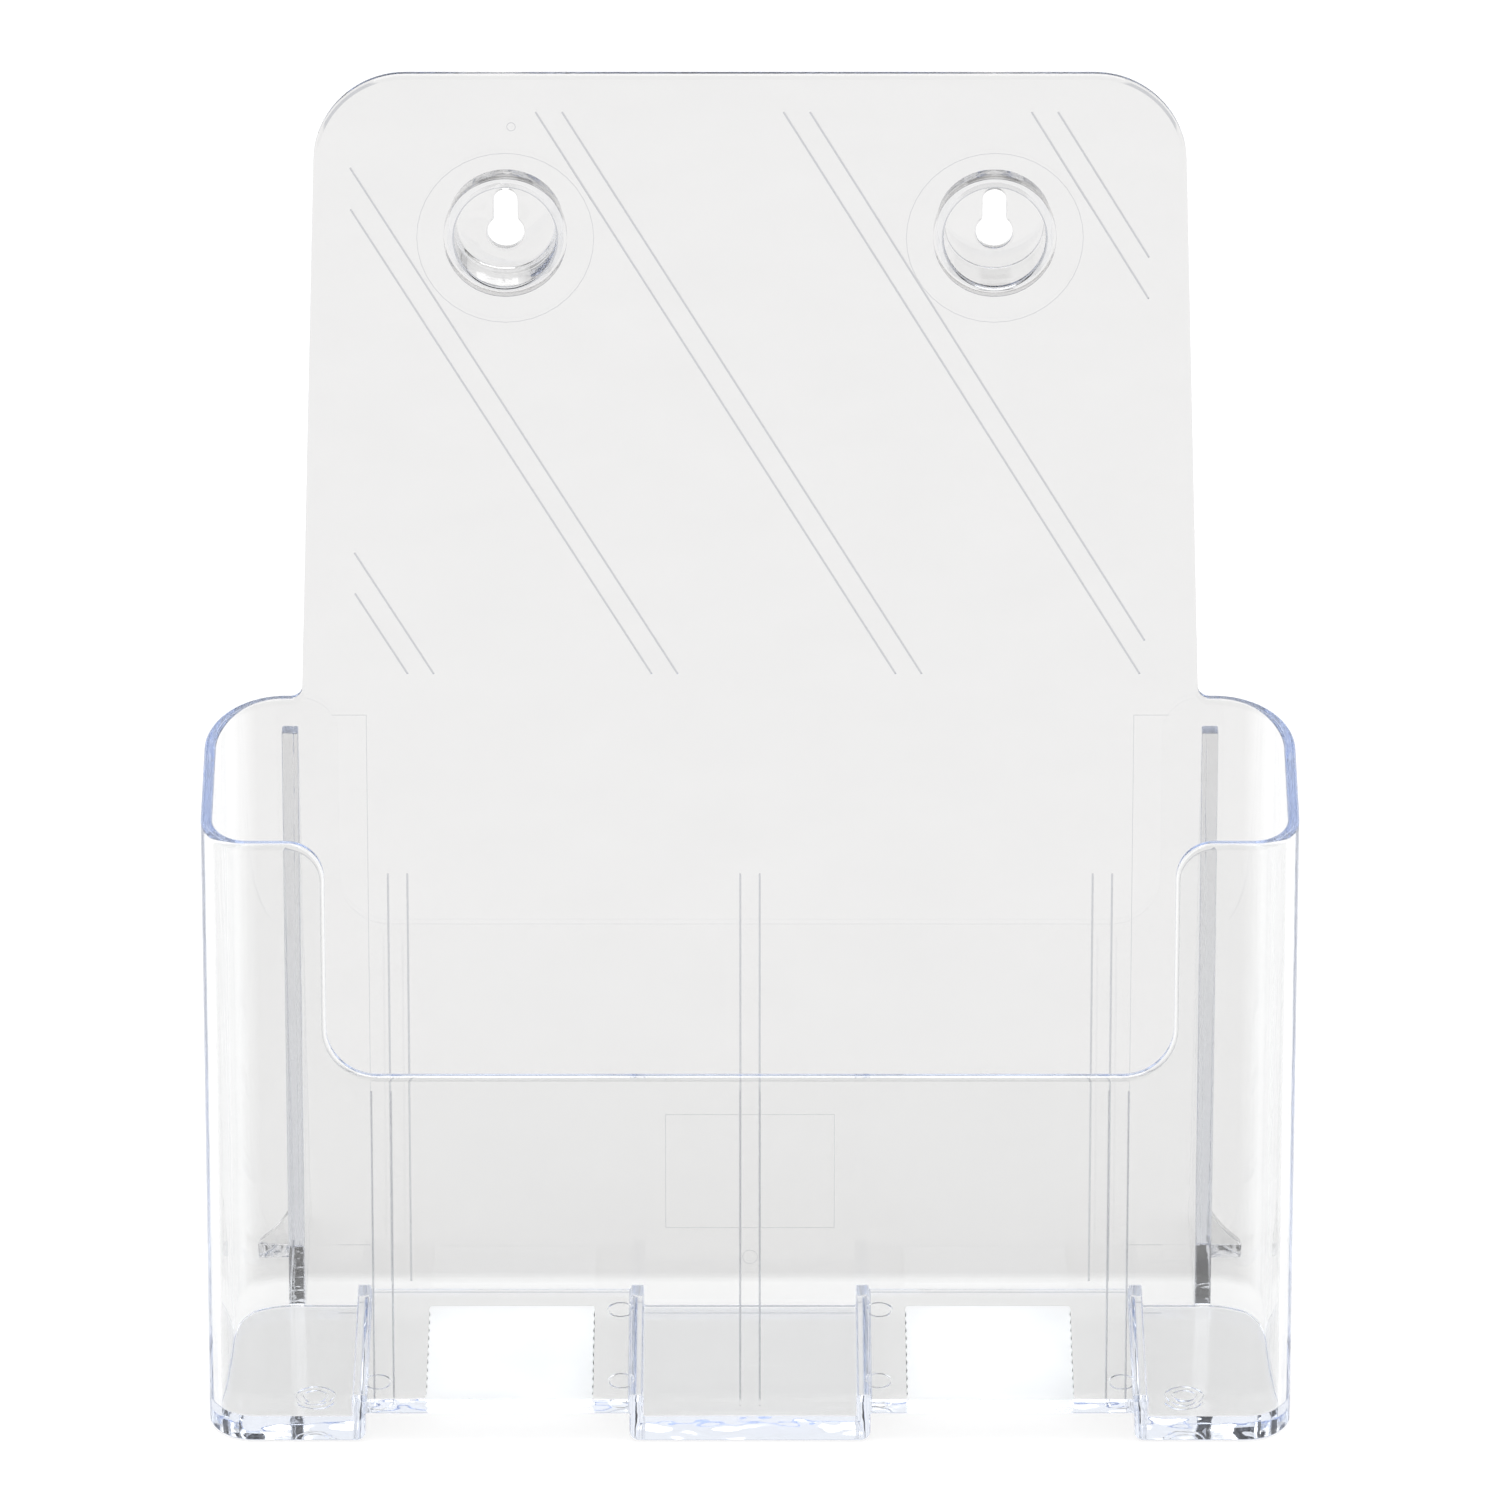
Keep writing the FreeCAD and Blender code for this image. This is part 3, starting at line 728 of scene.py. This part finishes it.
def clearPlastic():
    material, tree = newMaterial("clear_plastic")
    place = node(tree, "ShaderNodeTexCoord", output=3)

    def noise(stretch, detail=2):
        vector = node(tree, "ShaderNodeVectorMath", {"operation": "MULTIPLY"}, {0: place, 1: stretch})
        return node(tree, "ShaderNodeTexNoise", inputs={"Vector": vector, "Scale": 1, "Detail": detail})

    aside, across, height = (along(place, axis) for axis in range(3))
    back = height * -tan(rack["lean"]) + across - frontFoot  # how far behind the front wall's face
    behind = back - (rack["depth"] - rack["wall"])  # how far behind the panel's face
    out = node(tree, "ShaderNodeMath", {"operation": "ABSOLUTE"}, {0: aside})
    zone = clearZones

    # the moulding set with slow waves, and finer ones in the walls' sides, the front's foot and the legs
    waves = clearLook["flow"] * noise((14, 14, 14))
    waves = waves + clearLook["streaks"] * noise((260, 260, 7)) * ramp(out, zone["sides"])
    atFoot = ramp(height, zone["foot"]) * ramp(back, zone["frontSkin"])
    waves = waves + clearLook["swirl"] * noise((70, 60, 170)) * atFoot
    lowLegs = ramp(behind, zone["legWaves"]) * ramp(height, zone["lowLegs"])
    waves = waves + clearLook["legWaves"] * noise((110, 110, 38), 3) * lowLegs
    bump = node(tree, "ShaderNodeBump", inputs={"Strength": 1, "Distance": mm, "Height": waves})
    dull = ramp(noise((420, 420, 420), 3), (0.55, 0.8), 0, clearLook["haze"])

    # the panel is tinted darker than the walls, painted shade, and the floors a little lighter, painted
    # light; the cut lines get a dark grey tint, painted shade
    onLeg = ramp(behind, zone["behindPanel"]) * ramp(out, zone["legs"])
    onPanel = ramp(behind, zone["panel"]) * (1 - onLeg)
    colour = mixed(onPanel, clearLook["walls"], clearLook["panel"])
    colour = mixed(ramp(height, zone["floors"]), colour, clearLook["floors"])
    # painted shade: the cut lines in the panel and in the front wall are tinted dark grey
    cutIn = ramp(behind, zone["cutTop"]) * ramp(behind, zone["cutEnd"])
    cutIn = cutIn * ramp(out, zone["panelHalf"]) * ramp(height, zone["panelTop"])
    cutFront = ramp(back, zone["cutTop"]) * ramp(back, zone["cutEnd"]) * ramp(height, zone["frontLow"])
    cutFront = cutFront * ramp(out, zone["frontHalf"]) * ramp(height, zone["frontTop"])
    colour = mixed(cutIn + cutFront, colour, clearLook["cutLineShade"])
    surface = node(tree, "ShaderNodeBsdfPrincipled", inputs={
        "Base Color": colour, "Roughness": dull + clearLook["roughness"], "IOR": clearLook["ior"],
        "Transmission Weight": 1, "Normal": bump})
    inside = node(tree, "ShaderNodeVolumeAbsorption", inputs={
        "Color": clearLook["inside"], "Density": clearLook["density"]})
    node(tree, "ShaderNodeOutputMaterial", inputs={"Surface": surface, "Volume": inside})
    return material


padLook = {
    "white": (0.94, 0.95, 0.96, 1),
    "shade": (0.84, 0.86, 0.88, 1),
    "between": (0.16, 0.16, 0.19, 1),  # painted shade in the gaps between the ribs of its edge
    "ribPitch": 1.1 * mm,
    "paintedGlow": 0.74,  # painted light: the pad's top glows as if brightly lit
}


def padPlastic():
    material, tree = newMaterial("pad_plastic")
    place = node(tree, "ShaderNodeTexCoord", output=3)
    grain = node(tree, "ShaderNodeTexNoise", inputs={"Vector": place, "Scale": 900, "Detail": 2})
    patch = node(tree, "ShaderNodeTexNoise", inputs={"Vector": place, "Scale": 60, "Detail": 3})
    colour = node(tree, "ShaderNodeValToRGB", {"stops": [(0.3, padLook["shade"]), (0.6, padLook["white"])]},
                  {"Fac": patch})
    bump = node(tree, "ShaderNodeBump", inputs={"Strength": 0.3, "Distance": 0.1 * mm, "Height": grain})
    height = along(place, 2)
    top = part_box("right_grip_pad")[1].z
    onTop = ramp(height, (top - 0.2 * mm, top - 0.05 * mm))
    # painted shade: dark stripes in the gaps between the ribs on the pad's sides
    rib = node(tree, "ShaderNodeMath", {"operation": "SINE"}, {0: height * (2 * pi / padLook["ribPitch"])})
    sides = mixed(ramp(rib, (-0.2, 0.3)), padLook["between"], colour)
    # painted light: only the top glows, through the emission
    surface = node(tree, "ShaderNodeBsdfPrincipled", inputs={
        "Base Color": mixed(onTop, sides, colour), "Roughness": 0.5 + 0.2 * grain, "Normal": bump,
        "Emission Color": mixed(onTop, (0, 0, 0, 1), colour), "Emission Strength": padLook["paintedGlow"]})
    node(tree, "ShaderNodeOutputMaterial", inputs={"Surface": surface})
    return material


clear, white = clearPlastic(), padPlastic()


def finishPiece(piece, material, slotName, *nodes):
    piece.data.materials.clear()
    piece.data.materials.append(material)
    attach(piece, "root")
    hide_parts(*nodes)


finishPiece(shellPiece, clear, "clear_styrene", "back_panel", "pocket_front", "left_pocket_side",
            "right_pocket_side", "centre_foot_tray", "left_foot_tray", "right_foot_tray",
            "left_raised_floor", "right_raised_floor", "left_inner_rail", "right_inner_rail",
            "left_outer_rail", "right_outer_rail")
pairs = {"left": (leftCup, leftLeg, leftToe, leftPad), "right": (rightCup, rightLeg, rightToe, rightPad)}
for side, pieces in pairs.items():
    finishPiece(pieces[0], clear, "clear_styrene", side + "_keyhole_cup")
    finishPiece(pieces[1], clear, "clear_styrene", side + "_stand_leg")
    finishPiece(pieces[2], clear, "clear_styrene", side + "_leg_toe")
    finishPiece(pieces[3], white, "pad_white", side + "_grip_pad")
print("materials set")


studio = {
    "floor": 12.0,
    "paperDark": (0.29, 0.29, 0.29, 1),
    "paperLight": (0.33, 0.33, 0.33, 1),
    "table": 0.8,  # a product table, lit softly from below as well
    "air": 0.25 * mm,  # the feet never touch all over
    "sky": 1.0,
    "behindCamera": 0.5,
    "dimming": (-0.75, -0.1),
    "gap": 0.97,  # how dark it is between the white sweep and the lamp
    "gapLow": (0.45, 0.5),
    "gapHigh": (0.7, 0.65),
    "gapBack": (0.1, 0.3),
    "keyLight": 26,
    "keyPlace": (0, 0.7, 2.4),
    "keySize": (2.4, 2.0),
    "cameraTurn": 30,
    "cameraReach": 2.6,
    "lens": 292,
    "aim": (0, 0.0002, 0.1435),
    "bounces": (96, 80, 64),  # light runs a long way inside clear walls before it leaves at an edge
}


def makeStudio():
    bpy.ops.object.select_all(action="DESELECT")
    bpy.ops.mesh.primitive_plane_add(size=studio["floor"])
    floor = bpy.context.object
    floor.name = "floor"
    floor.location.z = -studio["air"]
    paper, tree = newMaterial("paper_floor")
    place = node(tree, "ShaderNodeTexCoord", output=3)
    fibre = node(tree, "ShaderNodeTexNoise", inputs={"Vector": place, "Scale": 40, "Detail": 2})
    tones = [(0, studio["paperDark"]), (1, studio["paperLight"])]
    tone = node(tree, "ShaderNodeValToRGB", {"stops": tones}, {"Fac": fibre})
    surface = node(tree, "ShaderNodeBsdfPrincipled", inputs={
        "Base Color": tone, "Roughness": 1, "Specular IOR Level": 0,
        "Emission Color": (1, 1, 1, 1), "Emission Strength": studio["table"]})
    node(tree, "ShaderNodeOutputMaterial", inputs={"Surface": surface})
    floor.data.materials.append(paper)

    # a white room that is darker on the camera's side
    world = bpy.data.worlds.new("room")
    bpy.context.scene.world = world
    world.use_nodes = True
    tree = world.node_tree
    tree.nodes.clear()
    way = node(tree, "ShaderNodeTexCoord", output=0)
    back, high = along(way, 1), along(way, 2)
    bright = ramp(back, studio["dimming"], studio["behindCamera"], studio["sky"])
    gap = ramp(high, studio["gapLow"]) * ramp(high, studio["gapHigh"]) * ramp(back, studio["gapBack"])
    bright = bright * (1 - gap * studio["gap"])
    light = node(tree, "ShaderNodeBackground", inputs={"Color": (1, 1, 1, 1), "Strength": bright})
    node(tree, "ShaderNodeOutputWorld", inputs={"Surface": light})

    bpy.ops.object.light_add(type="AREA", location=studio["keyPlace"])
    key = bpy.context.object
    key.name = "soft_top_light"
    key.data.shape = "RECTANGLE"
    key.data.size, key.data.size_y = studio["keySize"]
    key.data.energy = studio["keyLight"]

    bpy.ops.object.camera_add()
    camera = bpy.context.object
    turn = radians(studio["cameraTurn"])
    aim = Vector(studio["aim"])
    camera.location = aim + studio["cameraReach"] * Vector((0, -cos(turn), sin(turn)))
    camera.rotation_euler = (pi / 2 - turn, 0, 0)
    camera.data.lens = studio["lens"]
    camera.data.clip_end = 50
    bpy.context.scene.camera = camera
    bpy.context.scene.view_settings.view_transform = "Standard"
    cycles = bpy.context.scene.cycles
    cycles.max_bounces, cycles.glossy_bounces, cycles.transmission_bounces = studio["bounces"]


makeStudio()
print("studio set")
